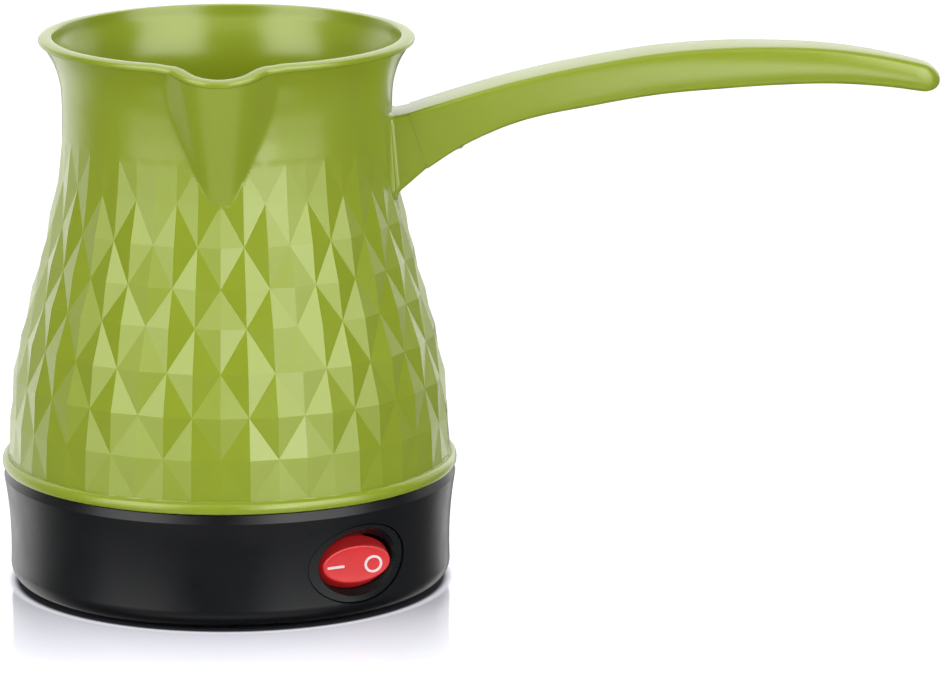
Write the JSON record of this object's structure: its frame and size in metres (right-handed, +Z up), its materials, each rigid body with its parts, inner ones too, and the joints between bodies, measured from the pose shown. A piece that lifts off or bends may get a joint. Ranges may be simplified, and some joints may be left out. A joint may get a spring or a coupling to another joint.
{
  "type": "electric turkish coffee maker",
  "caption": "Small electric coffee pot with a faceted waisted body, pouring spout, long side handle, round heated base and an oval lit rocker switch.",
  "frame": {"origin": "pot axis in the plane that the rubber foot ring stands on", "axes": "+Z up along the pot axis, +X along the handle, -Y towards the spout, +Y towards the cord entry"},
  "size_m": [0.2229, 0.1086, 0.1321],
  "materials": {
    "green_pp": "glossy injection-moulded polypropylene, apple green",
    "black_pp": "satin injection-moulded polypropylene, black",
    "black_pa": "satin moulded polyamide, black",
    "red_pc": "glossy translucent polycarbonate, red, lit from inside",
    "stainless": "brushed stainless sheet",
    "zinc_steel": "zinc-plated steel",
    "aluminium": "plain aluminium",
    "brass": "plain brass",
    "silicone": "matte silicone rubber, off-white",
    "black_rubber": "matte rubber, black",
    "bakelite": "matte phenolic, dark brown",
    "lamp_glass": "clear glass",
    "white_pa": "matte polyamide, natural white",
    "wire_brown": "silicone insulation, brown",
    "wire_blue": "silicone insulation, blue",
    "wire_green": "silicone insulation, green and yellow"
  },
  "bodies": {
    "pot": {"pot_body": "green_pp", "handle": "green_pp", "handle_screw": "zinc_steel", "heating_plate": "stainless", "plate_gasket": "silicone", "clamp_ring": "zinc_steel", "clamp_screws": "zinc_steel", "heat_spreader": "aluminium", "heating_element": "stainless", "thermostat": "bakelite", "thermostat_bracket": "zinc_steel", "thermostat_screws": "zinc_steel", "thermal_fuse": "aluminium", "fuse_clip": "zinc_steel", "earth_tag": "brass", "base_housing": "black_pp", "foot_ring": "black_rubber", "base_screws": "zinc_steel", "cord_gland": "black_rubber", "switch_housing": "black_pa", "switch_contacts": "brass", "terminal_block": "white_pa", "wire_live": "wire_brown", "wire_switched": "wire_brown", "wire_thermostat": "wire_brown", "wire_fuse": "wire_brown", "wire_neutral": "wire_blue", "wire_earth": "wire_green"},
    "rocker": {"switch_rocker": "red_pc", "switch_plunger": "white_pa", "switch_spring": "stainless", "neon_lamp": "lamp_glass", "lamp_resistor": "bakelite"},
    "lever": {"contact_lever": "brass"}
  },
  "joints": [
    {"name": "rocker_rock", "type": "hinge", "parent": "pot", "child": "rocker", "pos_m": [0.02776, -0.03605, 0.014], "axis": [0, 0, 1], "range_deg": [0, 20]},
    {"name": "lever_rock", "type": "hinge", "parent": "pot", "child": "lever", "pos_m": [0.02349, -0.0305, 0.014], "axis": [0, 0, 1], "range_deg": [-10, 0]}
  ],
  "couplings": [
    {"joint": "lever_rock", "follows": "rocker_rock", "ratio": -0.5}
  ]
}
